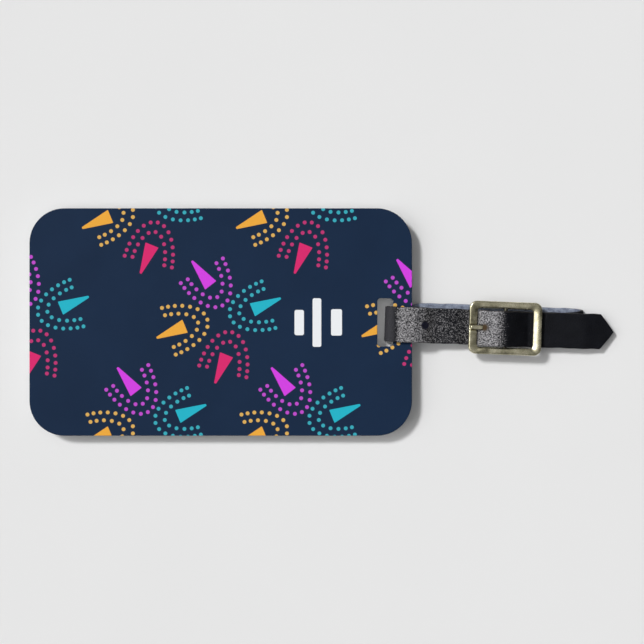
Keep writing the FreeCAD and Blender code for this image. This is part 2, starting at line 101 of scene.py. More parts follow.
def outline(across, up, corner):
    # Where the points of a rounded rectangle lie, counterclockwise from the lower end of its right side: a
    # share of the way along each straight side, and a direction from the middle of each corner's arc.
    turn = np.linspace(0, math.pi / 2, corner)
    parts = []
    for i, count in enumerate([up, across, up, across]):
        share = np.linspace(-1, 1, count + 2)[1:-1]
        heading = np.full(count, i * math.pi / 2)
        ones = np.ones(count)
        sides = [(ones, share), (-share, ones), (-ones, -share), (share, -ones)]
        signs = [(1, 1), (-1, 1), (-1, -1), (1, -1)][i]
        parts.append(np.stack([*sides[i], heading]))
        arc = i * math.pi / 2 + turn
        parts.append(np.stack([np.full(corner, signs[0]), np.full(corner, signs[1]), arc]))
    x, y, heading = np.concatenate(parts, axis=1)
    return {"x": x, "y": y, "cos": np.cos(heading), "sin": np.sin(heading)}


def roundedRectangle(shape, halfX, halfY, radius):
    # The corners' middles are pulled in by the radius, then each point steps out by the radius.
    radius = np.minimum(radius, np.minimum(halfX, halfY))
    return (shape["x"] * (halfX - radius) + shape["cos"] * radius,
            shape["y"] * (halfY - radius) + shape["sin"] * radius)


def roundedRoute(rows, spacing):
    # Straight runs joined by arcs: a corner of bend b that turns by t starts b * tan(t / 2) before its point.
    # Rows are x, z, bend, thickness and sideways shift. Stations are evenly spaced along the whole route.
    rows = np.array(rows, float)
    places = rows[:, :2]
    line, marks = [places[:1]], [0]
    for i in range(1, len(rows) - 1):
        before, after = places[i] - places[i - 1], places[i + 1] - places[i]
        before, after = before / np.hypot(*before), after / np.hypot(*after)
        turn = math.atan2(before[0] * after[1] - before[1] * after[0], before @ after)
        bend = rows[i, 2]
        side = math.copysign(1, turn)
        start = places[i] - before * bend * math.tan(abs(turn) / 2)
        middle = start + np.array([-before[1], before[0]]) * bend * side
        angles = np.linspace(0, turn, max(3, int(abs(turn) * 14)))[:, None]
        spoke = start - middle
        arc = middle + spoke * np.cos(angles) + np.array([-spoke[1], spoke[0]]) * np.sin(angles)
        line.append(arc)
        marks.append(sum(len(part) for part in line) - len(arc) // 2)
    line.append(places[-1:])
    dense = np.concatenate(line)
    marks.append(len(dense) - 1)
    along = np.concatenate([[0], np.cumsum(np.hypot(*np.diff(dense, axis=0).T))])
    keep = np.concatenate([[True], np.diff(along) > 1e-6])
    stations = np.linspace(0, along[-1], int(along[-1] / spacing))
    path = np.stack([np.interp(stations, along[keep], dense[keep, k]) for k in (0, 1)], axis=1)
    tangent = np.gradient(path, axis=0)
    tangent /= np.hypot(*tangent.T)[:, None]
    thickness = np.interp(stations, along[marks], rows[:, 3])
    shift = np.interp(stations, along[marks], rows[:, 4])
    soft = np.ones(9) / 9
    shift = np.convolve(np.pad(shift, 4, mode="edge"), soft, mode="valid")
    return stations, path, tangent, thickness, shift


def smoothLine(points, count):
    # A curve through the points: between two of them a cubic that leaves and arrives along the line
    # from the point before to the point after.
    points = np.array(points, float)
    padded = np.vstack([2 * points[0] - points[1], points, 2 * points[-1] - points[-2]])
    t = np.linspace(0, len(points) - 1, count)
    i = np.minimum(t.astype(int), len(points) - 2)
    f = (t - i)[:, None]
    a, b, c, d = padded[i], padded[i + 1], padded[i + 2], padded[i + 3]
    linear, square, cube = c - a, 2 * a - 5 * b + 4 * c - d, 3 * b - a - 3 * c + d
    return b + 0.5 * (linear * f + square * f ** 2 + cube * f ** 3)


class wire:
    # A node socket that can be used in sums, so that a pattern can be written as its formula.
    def __init__(self, tree, socket):
        self.tree, self.socket = tree, socket

    def math(self, operation, *others):
        node = self.tree.nodes.new("ShaderNodeMath")
        node.operation = operation
        for slot, value in zip(node.inputs, (self, *others)):
            if isinstance(value, wire):
                self.tree.links.new(value.socket, slot)
            else:
                slot.default_value = value
        return wire(self.tree, node.outputs[0])

    def __add__(self, other):
        return self.math("ADD", other)

    def __sub__(self, other):
        return self.math("SUBTRACT", other)

    def __mul__(self, other):
        return self.math("MULTIPLY", other)

    def __truediv__(self, other):
        return self.math("DIVIDE", other)

    def abs(self):
        return self.math("ABSOLUTE")

    def below(self, edge, blur):
        # 1 well below the edge, 0 well above it, and a ramp of that blur between.
        node = self.tree.nodes.new("ShaderNodeMapRange")
        self.tree.links.new(self.socket, node.inputs["Value"])
        node.interpolation_type = "SMOOTHSTEP"
        node.inputs["From Min"].default_value = edge - blur
        node.inputs["From Max"].default_value = edge + blur
        node.inputs["To Min"].default_value = 1
        node.inputs["To Max"].default_value = 0
        return wire(self.tree, node.outputs[0])


def newMaterial(name):
    material = bpy.data.materials.new(name)
    material.use_nodes = True
    tree = material.node_tree
    shader = tree.nodes["Principled BSDF"]
    place = tree.nodes.new("ShaderNodeTexCoord")
    return material, tree, shader, place.outputs["Object"]


def noise(tree, place, size, detail=4, roughness=0.55, stretch=None):
    # Noise whose blobs are about size millimetres across.
    node = tree.nodes.new("ShaderNodeTexNoise")
    node.inputs["Scale"].default_value = 1 / (size * mm)
    node.inputs["Detail"].default_value = detail
    node.inputs["Roughness"].default_value = roughness
    if stretch:
        mapping = tree.nodes.new("ShaderNodeMapping")
        mapping.inputs["Scale"].default_value = stretch
        tree.links.new(place, mapping.inputs["Vector"])
        place = mapping.outputs[0]
    tree.links.new(place, node.inputs["Vector"])
    return node.outputs["Fac"]


def cells(tree, place, size, smooth):
    # Distance to the middle of the nearest cell, in cells of about size millimetres.
    node = tree.nodes.new("ShaderNodeTexVoronoi")
    node.feature = "SMOOTH_F1"
    node.inputs["Scale"].default_value = 1 / (size * mm)
    node.inputs["Smoothness"].default_value = smooth
    tree.links.new(place, node.inputs["Vector"])
    return node.outputs["Distance"]


def ramp(tree, value, stops):
    # Colours or greys between two or more stops.
    node = tree.nodes.new("ShaderNodeValToRGB")
    while len(node.color_ramp.elements) < len(stops):
        node.color_ramp.elements.new(1)
    for element, (position, colour) in zip(node.color_ramp.elements, stops):
        element.position = position
        element.color = (*colour, 1) if isinstance(colour, tuple) else (colour, colour, colour, 1)
    tree.links.new(value, node.inputs["Fac"])
    return node.outputs["Color"]


def mixColour(tree, share, first, second):
    node = tree.nodes.new("ShaderNodeMix")
    node.data_type = "RGBA"
    tree.links.new(share, node.inputs["Factor"])
    for slot, colour in ((node.inputs["A"], first), (node.inputs["B"], second)):
        if isinstance(colour, tuple):
            slot.default_value = (*colour, 1)
        else:
            tree.links.new(colour, slot)
    return node.outputs["Result"]


def bump(tree, shader, height, distance, strength=1.0, onto=None):
    node = tree.nodes.new("ShaderNodeBump")
    node.inputs["Distance"].default_value = distance * mm
    node.inputs["Strength"].default_value = strength
    tree.links.new(height, node.inputs["Height"])
    if onto is not None:
        tree.links.new(onto, node.inputs["Normal"])
    tree.links.new(node.outputs[0], shader.inputs["Normal"])
    return node.outputs[0]


def spotMask(tree, place, spots, blur=0.45):
    # 1 near each spot of the strap, fading to 0 past its radius. Spots are X, Y and radius along the strap.
    split = tree.nodes.new("ShaderNodeSeparateXYZ")
    tree.links.new(place, split.inputs[0])
    marks = None
    for x, y, radius in spots:
        spotX, spotY, _ = layOnStrap(np.array([x, y, 0.0]))
        offX = wire(tree, split.outputs[0]) * 1000 - float(spotX)
        offY = wire(tree, split.outputs[1]) * 1000 - float(spotY)
        mark = (offX * offX + offY * offY).math("SQRT").below(radius, blur)
        marks = mark if marks is None else marks.math("MAXIMUM", mark)
    return marks


def grainLeather():
    # Rounded pebbles with dark creases. Where the strap bends over the tag and inside the buckle a painted
    # sheen makes the pebbles' tops paler, for light caught on the grain. It is given by X along the tag, as a
    # share from 0 to 1.
    look = {"pebble": 0.34, "relief": 0.08, "wrinkle": 3.2, "length": 105.0,
            "dark": (0.002, 0.0024, 0.0042), "light": (0.0048, 0.0056, 0.0085), "paintedSheen": (0.46, 0.45, 0.465),
            "spots": [(54.3, 0.0, 1.0)], "prongHoleShade": [(69.9, 0.0, 0.95)], "prongHoleShadeColour": (0.055, 0.033, 0.013),
            "bendSheen": (0.031, 0.031, 0.036), "bendSheenTo": 46.1,
            "speckSpread": 3.5, "sheenSpread": 2.0, "sheenStart": -0.75,
            "wearAndSheen": [(0, 0.0), (45.7, 0.0), (47.3, 0.7), (51.5, 0.62), (54.5, 0.51), (58, 0.42), (62, 0.39),
                     (65.5, 0.43), (68.4, 0.68), (72.8, 0.68), (74.6, 0.48), (76.4, 0.12), (78, 0.0),
                     (86, 0.08), (92, 0.0)]}
    material, tree, shader, place = newMaterial("black_grain_leather")
    split = tree.nodes.new("ShaderNodeSeparateXYZ")
    tree.links.new(place, split.inputs[0])
    along = wire(tree, split.outputs[0]) * (1000 / look["length"])
    wearAndSheen = ramp(tree, along.socket, [(x / look["length"], share) for x, share in look["wearAndSheen"]])
    pebbles = cells(tree, place, look["pebble"], 0.15)
    folds = noise(tree, place, look["wrinkle"], 5, 0.6)
    speckle = noise(tree, place, 0.36, 3, 0.7)
    tops = ramp(tree, pebbles, [(0.36, 1.0), (0.86, 0.0)])
    # A dark brown spot round the prong's hole is painted shade in the hole, and no sheen is painted on it.
    prongHoleShade = spotMask(tree, place, look["prongHoleShade"])
    sheenAllowed = spotMask(tree, place, look["spots"]).math("MAXIMUM", prongHoleShade) * -1 + 1
    # Little painted sheen reaches only the highest specks of the noise, and more of it reaches nearly every
    # top.
    reached = (wire(tree, speckle) - 0.5) * look["speckSpread"] + wire(tree, wearAndSheen) * look["sheenSpread"]
    reached = (reached + look["sheenStart"]).math("MAXIMUM", 0.0).math("MINIMUM", 1.0)
    paintedSheen = (reached * wire(tree, tops) * sheenAllowed).socket
    base = ramp(tree, folds, [(0.3, look["dark"]), (0.72, look["light"])])
    # Where the strap turns down into the slot the base is an even grey, a painted sheen on the bend.
    base = mixColour(tree, along.below(look["bendSheenTo"] / look["length"], 0.005).socket, base, look["bendSheen"])
    base = mixColour(tree, prongHoleShade.socket, base, look["prongHoleShadeColour"])
    # The pale grey mixed over the pebbles' tops is a painted sheen, a painted highlight in the base colour.
    tree.links.new(mixColour(tree, paintedSheen, base, look["paintedSheen"]), shader.inputs["Base Color"])
    shine = noise(tree, place, 1.1, 3)
    tree.links.new(ramp(tree, shine, [(0.3, 0.42), (0.7, 0.6)]), shader.inputs["Roughness"])
    shader.inputs["Specular IOR Level"].default_value = 0.12
    first = bump(tree, shader, folds, 0.2, 0.5)
    rounded = ramp(tree, pebbles, [(0.0, 1.0), (0.85, 0.0)])
    second = bump(tree, shader, rounded, look["relief"], 1.0, first)
    bump(tree, shader, speckle, 0.05, 0.7, second)
    return material


def fleshLeather():
    look = {"fibre": 0.35, "dark": (0.09, 0.105, 0.155), "light": (0.33, 0.375, 0.47),
            "spots": [(54.3, 0.0, 1.5)], "holeShadeColour": (0.12, 0.12, 0.2)}
    material, tree, shader, place = newMaterial("blue_grey_flesh_leather")
    mottle = noise(tree, place, 1.3, 6, 0.75)
    fibres = ramp(tree, mottle, [(0.34, look["dark"]), (0.66, look["light"])])
    # The flesh seen through the punched hole is painted darker, a painted shade at the bottom of the hole.
    holeShaded = mixColour(tree, spotMask(tree, place, look["spots"]).socket, fibres, look["holeShadeColour"])
    tree.links.new(holeShaded, shader.inputs["Base Color"])
    shader.inputs["Roughness"].default_value = 0.92
    shader.inputs["Sheen Weight"].default_value = 0.25
    shader.inputs["Sheen Roughness"].default_value = 0.6
    shader.inputs["Specular IOR Level"].default_value = 0.25
    bump(tree, shader, noise(tree, place, look["fibre"], 6, 0.8), 0.12, 0.9)
    return material


def edgeLeather():
    look = {"dark": (0.006, 0.005, 0.006), "brown": (0.035, 0.02, 0.014)}
    material, tree, shader, place = newMaterial("painted_leather_edge")
    wearAndSheen = noise(tree, place, 1.8, 6, 0.7)
    paint = ramp(tree, wearAndSheen, [(0.5, look["dark"]), (0.75, look["brown"])])
    tree.links.new(paint, shader.inputs["Base Color"])
    tree.links.new(ramp(tree, wearAndSheen, [(0.3, 0.42), (0.7, 0.7)]), shader.inputs["Roughness"])
    bump(tree, shader, noise(tree, place, 0.5, 5, 0.7, (0.3, 0.3, 1.6)), 0.09, 0.8)
    return material


def cutLeather():
    look = {"dark": (0.012, 0.007, 0.005), "brown": (0.06, 0.03, 0.018)}
    material, tree, shader, place = newMaterial("cut_leather")
    fibres = noise(tree, place, 0.5, 6, 0.75)
    colour = ramp(tree, fibres, [(0.35, look["dark"]), (0.7, look["brown"])])
    tree.links.new(colour, shader.inputs["Base Color"])
    shader.inputs["Roughness"].default_value = 0.85
    bump(tree, shader, fibres, 0.1, 0.8)
    return material


def agedBrass(name, shade):
    look = {"bright": (0.82, 0.77, 0.57), "olive": (0.46, 0.43, 0.29), "dark": (0.1, 0.09, 0.06)}
    look = {part: tuple(shade * c for c in colour) for part, colour in look.items()}
    material, tree, shader, place = newMaterial(name)
    patches = noise(tree, place, 3.6, 7, 0.68)
    colour = ramp(tree, patches, [(0.36, look["bright"]), (0.53, look["olive"]), (0.7, look["dark"])])
    tree.links.new(colour, shader.inputs["Base Color"])
    shader.inputs["Metallic"].default_value = 0.95
    tree.links.new(ramp(tree, patches, [(0.35, 0.2), (0.7, 0.38)]), shader.inputs["Roughness"])
    dents = bump(tree, shader, noise(tree, place, 1.4, 3), 0.04, 0.5)
    bump(tree, shader, noise(tree, place, 0.25, 4, 0.7, (0.4, 1.5, 1.0)), 0.012, 0.5, dents)
    return material


def waxedThread():
    look = {"dark": (0.008, 0.008, 0.01), "light": (0.03, 0.03, 0.035), "twist": 0.32}
    material, tree, shader, place = newMaterial("waxed_thread")
    node = tree.nodes.new("ShaderNodeTexWave")
    node.bands_direction = "DIAGONAL"
    node.inputs["Scale"].default_value = 1 / (look["twist"] * mm)
    node.inputs["Distortion"].default_value = 1.5
    tree.links.new(place, node.inputs["Vector"])
    strands = node.outputs["Fac"]
    colour = ramp(tree, strands, [(0.2, look["dark"]), (0.8, look["light"])])
    tree.links.new(colour, shader.inputs["Base Color"])
    shader.inputs["Roughness"].default_value = 0.55
    shader.inputs["Sheen Weight"].default_value = 0.2
    bump(tree, shader, strands, 0.04, 0.8)
    return material


def milkyAcrylic():
    look = {"dull": (0.6, 0.62, 0.64), "white": (0.74, 0.76, 0.78)}
    material, tree, shader, place = newMaterial("milky_acrylic")
    haze = noise(tree, place, 9, 3)
    colour = ramp(tree, haze, [(0.35, look["dull"]), (0.7, look["white"])])
    tree.links.new(colour, shader.inputs["Base Color"])
    shine = noise(tree, place, 2.5, 5, 0.7)
    tree.links.new(ramp(tree, shine, [(0.3, 0.14), (0.75, 0.3)]), shader.inputs["Roughness"])
    shader.inputs["IOR"].default_value = 1.49
    bump(tree, shader, noise(tree, place, 0.6, 3, 0.6, (0.25, 0.25, 2.5)), 0.01, 0.5)
    return material


def clearAcrylic():
    material, tree, shader, place = newMaterial("clear_acrylic")
    tint = ramp(tree, noise(tree, place, 12, 2), [(0.3, (0.93, 0.96, 0.96)), (0.7, (0.98, 0.99, 0.99))])
    tree.links.new(tint, shader.inputs["Base Color"])
    shader.inputs["Transmission Weight"].default_value = 1.0
    shader.inputs["IOR"].default_value = 1.49
    shine = noise(tree, place, 4, 6, 0.7)
    tree.links.new(ramp(tree, shine, [(0.4, 0.03), (0.75, 0.12)]), shader.inputs["Roughness"])
    bump(tree, shader, noise(tree, place, 0.9, 4, 0.7, (3, 0.4, 1)), 0.006, 0.35)
    return material


def greyFoam():
    material, tree, shader, place = newMaterial("foam_spacer")
    pores = noise(tree, place, 0.3, 5, 0.75)
    tree.links.new(ramp(tree, pores, [(0.35, (0.015, 0.016, 0.02)), (0.7, (0.05, 0.052, 0.06))]),
                   shader.inputs["Base Color"])
    shader.inputs["Roughness"].default_value = 0.88
    bump(tree, shader, pores, 0.08, 0.9)
    return material


def printPetal():
    # One slim triangle with two U-shaped rows of round dots round its base. The group's place is in
    # millimetres from the middle of the triangle's base, and X runs out to its tip. Turn is the rows' own
    # angle in radians.
    look = {"length": 8.25, "base": 1.92, "tip": 0.3, "endRound": 0.2, "sideRound": 0.35, "inset": 0.04,
            "dot": 0.51, "blur": 0.07, "first": 0.15, "quarterFit": 0.985,
            "rows": ({"middle": 5.95, "long": 12.09, "wide": 6.5, "steps": (1.89, 1.89), "reach": (7, 7)},
                     {"middle": 6.06, "long": 9.61, "wide": 4.43, "steps": (1.85, 1.87), "reach": (5, 5)})}
    tree = bpy.data.node_groups.new("print_petal", "ShaderNodeTree")
    for way, names in (("INPUT", ("X", "Y", "Turn")), ("OUTPUT", ("Petal", "Dots"))):
        for name in names:
            tree.interface.new_socket(name, in_out=way, socket_type="NodeSocketFloat")
    inside, outside = tree.nodes.new("NodeGroupInput"), tree.nodes.new("NodeGroupOutput")
    placeX, placeY, turned = (wire(tree, inside.outputs[name]) for name in ("X", "Y", "Turn"))
    # A point is in the triangle while it is under its long side, past its base and short of its tip.
    slope = (look["base"] - look["tip"]) / look["length"]
    lean = (placeX * slope + placeY.abs() - look["base"]) * (1 / math.hypot(slope, 1))
    ends = (placeX - look["length"]).math("SMOOTH_MAX", placeX * -1, look["endRound"])
    petal = lean.math("SMOOTH_MAX", ends, look["sideRound"]).below(-look["inset"], look["blur"])
    cosine, sine = turned.math("COSINE"), turned.math("SINE")
    x, y = placeX * cosine + placeY * sine, placeY * cosine - placeX * sine
    dots = None
    for row in look["rows"]:
        # Each row is half an ellipse, at -long * cos t along and wide * sin t across. Its length from the
        # apex is near wide * t + cubic * t cubed. The nearest whole step gives a dot's length, and one step
        # of Newton's method turns that back into the dot's t, so that the distance to the dot's own middle
        # can be taken.
        first, wide = look["first"], row["wide"]
        quarter = math.pi / 2 * math.sqrt((row["long"] ** 2 + wide ** 2) / 2) * look["quarterFit"]
        cubic = (quarter - wide * math.pi / 2) / (math.pi / 2) ** 3
        turn = (y / wide).math("ARCTAN2", (x - row["middle"]) * (-1 / row["long"]))
        along = turn * wide + turn * turn * turn * cubic - first
        after = along.math("GREATER_THAN", 0.0)
        spacing = after * (row["steps"][1] - row["steps"][0]) + row["steps"][0]
        step = (along / spacing).math("ROUND")
        step = step.math("MAXIMUM", -float(row["reach"][0])).math("MINIMUM", float(row["reach"][1]))
        length = step * spacing + first
        bendBack = (math.pi / 2 - quarter / wide) / quarter ** 3
        guess = length * (1 / wide) + length * length * length * bendBack
        miss = guess * wide + guess * guess * guess * cubic - length
        guess = guess - miss / (guess * guess * (3 * cubic) + wide)
        dotX, dotY = guess.math("COSINE") * -row["long"] + row["middle"], guess.math("SINE") * wide
        offX, offY = x - dotX, y - dotY
        dot = (offX * offX + offY * offY).math("SQRT").below(look["dot"], look["blur"])
        dots = dot if dots is None else dots.math("MAXIMUM", dot)
    tree.links.new(petal.socket, outside.inputs["Petal"])
    tree.links.new(dots.socket, outside.inputs["Dots"])
    return tree


def printedFilm():
    # A plain geometric print: clusters of four petals on a lattice of three rows, and three plain bars. A
    # petal has the place of its base, the way that it points, the turn of its rows, and the colours of its
    # triangle and its dots. A bar has its middle and its half sizes.
    look = {
        "navy": (0.0085, 0.02, 0.047),
        "petals": [((-2.1, 8.9), (-0.61, 0.79), -0.109, (0.62, 0.055, 0.72), (0.49, 0.072, 0.57)),
                   ((8.9, 2.4), (0.926, 0.379), -0.081, (0.02, 0.43, 0.55), (0.042, 0.38, 0.465)),
                   ((-8.9, -1.9), (-0.923, -0.384), -0.088, (0.8, 0.38, 0.05), (0.68, 0.4, 0.1)),
                   ((2.1, -9.5), (-0.375, -0.927), 0.16, (0.66, 0.025, 0.15), (0.49, 0.037, 0.162))],
        "rowPitch": 28.73, "middlePitch": 52.7, "outerPitch": 40.9, "shift": (0.13, 1.24),
        "centreShift": (-0.66, -0.42), "besideShift": 1.08,
        "bars": [(20.85, -0.15, 1.25, 3.35), (25.55, -0.15, 1.15, 6.45), (30.75, -0.1, 1.45, 3.5)],
        "barPaint": (0.8, 0.82, 0.84), "barCorner": 0.5,
    }
    material, tree, shader, place = newMaterial("printed_film")
    split = tree.nodes.new("ShaderNodeSeparateXYZ")
    tree.links.new(place, split.inputs[0])
    x, y = (wire(tree, split.outputs[k]) * 1000 for k in (0, 1))
    group = printPetal()
    ink = noise(tree, place, 14, 3)
    colour = mixColour(tree, ink, look["navy"], tuple(1.35 * c for c in look["navy"]))
    for (baseX, baseY), (aimX, aimY), rowTurn, paint, dotPaint in look["petals"]:
        # The lattice is folded about this petal's own middle: the nearest row first, then the nearest
        # cluster in that row. The middle row has another pitch and starts at its centre, and its clusters
        # are set a little to one side of it.
        u, v = x - (look["shift"][0] + baseX), y - (look["shift"][1] + baseY)
        row = (v / look["rowPitch"]).math("ROUND").math("MINIMUM", 1.0).math("MAXIMUM", -1.0)
        outer = row.abs()
        pitch = outer * (look["outerPitch"] - look["middlePitch"]) + look["middlePitch"]
        half = outer * 0.5
        column = (u / pitch - half).math("ROUND").math("MAXIMUM", -1.0)
        column = column.math("MINIMUM", outer * -1 + 1) + half
        inMiddle = outer * -1 + 1
        beside = inMiddle * column.abs()
        centre = inMiddle - beside
        u = u - column * pitch - beside * look["besideShift"] - centre * look["centreShift"][0]
        v = v - row * look["rowPitch"] - centre * look["centreShift"][1]
        node = tree.nodes.new("ShaderNodeGroup")
        node.node_tree = group
        tree.links.new((u * aimX + v * aimY).socket, node.inputs["X"])
        tree.links.new((v * aimX - u * aimY).socket, node.inputs["Y"])
        node.inputs["Turn"].default_value = rowTurn
        colour = mixColour(tree, node.outputs["Dots"], colour, dotPaint)
        colour = mixColour(tree, node.outputs["Petal"], colour, paint)
    for middleX, middleY, halfX, halfY in look["bars"]:
        # Distance outside a rectangle pulled in by its corner radius.
        corner = look["barCorner"]
        overX = ((x - middleX).abs() - (halfX - corner)).math("MAXIMUM", 0.0)
        overY = ((y - middleY).abs() - (halfY - corner)).math("MAXIMUM", 0.0)
        bar = (overX * overX + overY * overY).math("SQRT").below(corner, 0.05)
        colour = mixColour(tree, bar.socket, colour, look["barPaint"])
    tree.links.new(colour, shader.inputs["Base Color"])
    shine = noise(tree, place, 5, 6, 0.7)
    tree.links.new(ramp(tree, shine, [(0.35, 0.4), (0.7, 0.52)]), shader.inputs["Roughness"])
    shader.inputs["Specular IOR Level"].default_value = 0.05
    fine = bump(tree, shader, noise(tree, place, 0.22, 2), 0.006, 0.5)
    bump(tree, shader, noise(tree, place, 6, 2), 0.03, 0.25, fine)
    return material


def ruledCard():
    # Plain paper with ruled writing lines.
    look = {"paper": (0.8, 0.78, 0.72), "line": (0.16, 0.2, 0.3), "pitch": 7.0, "half": 17.0,
            "from": -36.0, "to": 24.0, "lineHalf": 0.14}
    material, tree, shader, place = newMaterial("ruled_card")
    split = tree.nodes.new("ShaderNodeSeparateXYZ")
    tree.links.new(place, split.inputs[0])
    x, y = (wire(tree, split.outputs[k]) * 1000 for k in (0, 1))
    offset = y - (y / look["pitch"]).math("ROUND") * look["pitch"]
    middle, reach = (look["from"] + look["to"]) / 2, (look["to"] - look["from"]) / 2
    line = offset.abs().below(look["lineHalf"], 0.03) * (x - middle).abs().below(reach, 0.05)
    line = line * y.abs().below(look["half"], 0.05)
    fibres = noise(tree, place, 0.7, 6, 0.7)
    paper = mixColour(tree, fibres, look["paper"], tuple(0.93 * c for c in look["paper"]))
    tree.links.new(mixColour(tree, line.socket, paper, look["line"]), shader.inputs["Base Color"])
    shader.inputs["Roughness"].default_value = 0.85
    bump(tree, shader, fibres, 0.03, 0.4)
    return material


def paleFloor():
    material, tree, shader, place = newMaterial("pale_floor")
    tone = ramp(tree, noise(tree, place, 60, 3), [(0.3, (0.755, 0.755, 0.755)), (0.7, (0.765, 0.765, 0.765))])
    tree.links.new(tone, shader.inputs["Base Color"])
    shader.inputs["Roughness"].default_value = 0.9
    shader.inputs["Specular IOR Level"].default_value = 0.1
    return material


grain, flesh, edge, cut = grainLeather(), fleshLeather(), edgeLeather(), cutLeather()
brass, darkBrass = agedBrass("aged_brass", 1), agedBrass("dark_brass", 0.15)
acrylic, film = milkyAcrylic(), printedFilm()
print("materials made")


def plateWithSlot(name, size, material):
    # A loop of rounded rectangles: down the outer edge, in under the plate, up the slot's wall and out
    # over the top. Rounded edges step in by r(1 - sin) as they step down by r(1 - cos).
    shape = outline(40, 24, 14)
    turn = np.linspace(0, math.pi / 2, 6)
    edgeIn, edgeDown = size["round"] * (1 - np.sin(turn)), size["round"] * (1 - np.cos(turn))
    inset = np.concatenate([[size["round"] + 0.1], edgeIn, edgeIn[::-1], [size["round"] + 0.1]])
    top, bottom = size["top"], size["bottom"]
    height = np.concatenate([[top], top - edgeDown, bottom + edgeDown[::-1], [bottom]])
    grids = []
    for middle, half, corner, way in ((size["middle"], size["half"], size["corner"], -1),
                                      (size["slotMiddle"], size["slotHalf"], size["slotCorner"], 1)):
        step = (way * (inset + size["inset"]))[:, None]
        x, y = roundedRectangle(shape, half[0] + step, half[1] + step, corner + step)
        grid = np.stack([x + middle[0], y + middle[1], np.broadcast_to(height[:, None], x.shape)], axis=-1)
        grids.append(grid if way < 0 else grid[::-1])
    return newPiece(name, [np.concatenate(grids)], True, [material])


tagSize = {"middle": (0, 0), "half": (50.8, 30.2), "corner": 9.25,
           "slotMiddle": (43.7, -0.1), "slotHalf": (2.1, 6.4), "slotCorner": 0.8}
plateSize = {**tagSize, "top": 4.42, "bottom": 2.0, "round": 0.2, "inset": 0.06}
faceSize = {**tagSize, "top": 4.6, "bottom": 4.3, "round": 0.14, "inset": 0.0}

plate = plateWithSlot("acrylic_plate", plateSize, acrylic)
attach(plate, "tag")
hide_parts("front_plate")
face = plateWithSlot("printed_face", faceSize, film)
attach(face, "tag")
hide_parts("print_film")
print("tag made")


strapSize = {
    "halfWidth": 4.7, "corner": 0.3, "spacing": 0.4, "foldEnd": 8.6,
    "tipFrom": 101.25, "tipTo": 104.75, "tipBlunt": 0.35, "topRun": 60, "topAbove": 4,
    "wobbles": ((0.05, 0.61, 0), (0.035, 1.43, 1)), "flatShare": 0.72,
    "hole": (54.3, 1.02), "holeHeights": (3.6, 7), "dimple": 0.28, "dimpleReach": 1.7,
    "slit": {"from": 67.4, "to": 73.0, "halfWide": 0.84, "halfThick": 0.76, "corner": 0.45, "slope": 7.7},
    "prongSlot": (72.6, 77.15, 1.22), "slotCorner": 0.4, "slotHeights": (1.7, 5.72),
}
prongSize = {"pin": (75.6, 4.35), "curl": 0.97, "slope": 7.7, "reach": 9.5, "corner": 0.26,
             "eyeHalf": 0.88, "eyeThick": 0.29, "eyeEnd": 4.4, "eyeFade": 1.6,
             "tongueHalf": 0.6, "tongueThick": 0.4, "tipHalf": 0.5, "tipThick": 0.36, "taper": 3.0,
             "endRound": 0.45}

# Each row is X, Z, the bend's radius, the thickness and the shift sideways, from the fold's end to the point.
strapRoute = [
    (80.6, 2.42, 0, 0.6, 0), (79.2, 2.42, 0.6, 0.6, 0), (75.9, 5.35, 0.6, 0.6, 0),
    (74.6, 5.35, 0.999, 0.6, 0), (74.6, 3.35, 0.999, 0.6, 0), (76.1, 3.35, 0.8, 0.6, 0),
    (78.8, 1.8, 0.8, 0.6, 0), (80.7, 1.78, 3, 0.64, 0), (82.6, 1.6, 6, 1, 0), (92, 1.6, 0, 1, 0),
    (96.3, 1.6, 0.549, 1, 0.75), (96.3, 0.5, 0.549, 1, 1.15), (92, 0.5, 0, 1, 1.3), (54, 0.5, 0, 1, 1.3),
    (50, 0.5, 0, 1, 0.5), (44.14, 0.5, 1.3, 1, 0), (44.14, 5.32, 1.3, 1, 0), (50.2, 5.55, 12, 1, 0),
    (53.9, 5.3, 2.4, 1, 0), (56.6, 3.35, 3.5, 1, 0), (62.5, 3.3, 4, 1, 0), (65.2, 2.42, 3, 1, 0),
    (68.35, 2.42, 0.8, 1, 0), (69.3, 5.4, 1.5, 1, -0.2), (72.3, 6.2, 4, 1, -0.22),
    (75.7, 6.4, 2.6, 1, -0.22), (81.6, 2.7, 1.6, 1, -0.15), (96.8, 2.7, 8, 1, 0), (104.75, 1.55, 0, 1, 0),
]


def strapPoints():
    # A rounded rectangle carried along the route, square to it. It is narrowed to the pointed tip, and
    # the free run is pressed down a little round the punched hole.
    s, path, tangent, thickness, shift = roundedRoute(strapRoute, strapSize["spacing"])
    topRun = s > s[-1] - strapSize["topRun"]
    share = np.clip((path[:, 0] - strapSize["tipFrom"]) / (strapSize["tipTo"] - strapSize["tipFrom"]), 0, 1)
    share = np.where(topRun, share, 0)
    blunt = strapSize["tipBlunt"]
    half = strapSize["halfWidth"] * (1 - share) + blunt * np.sqrt(np.clip(1 - share ** 8, 0, 1)) * share
    half = np.maximum(half, 0.05)
    # The cut edges wander a little, as a sum of sines along the strap.
    wobble = sum(reach * np.sin(s * rate + start) for reach, rate, start in strapSize["wobbles"])
    wobble = wobble * np.clip((half - 1) / 2, 0, 1)
    shape = outline(34, 3, 4)
    across, out = roundedRectangle(shape, half[:, None], thickness[:, None] / 2, strapSize["corner"])
    x = path[:, :1] - tangent[:, 1:] * out
    z = path[:, 1:] + tangent[:, :1] * out
    y = across + (shift + wobble)[:, None]
    holeX, holeRadius = strapSize["hole"]
    away = np.hypot(x - holeX, y) / strapSize["dimpleReach"]
    z = z - np.where(z > strapSize["topAbove"], strapSize["dimple"] * np.exp(-away ** 2), 0)
    z = np.maximum(z, 0.0)
    return s, out, thickness, layOnStrap(np.stack([x, y, z], axis=-1))


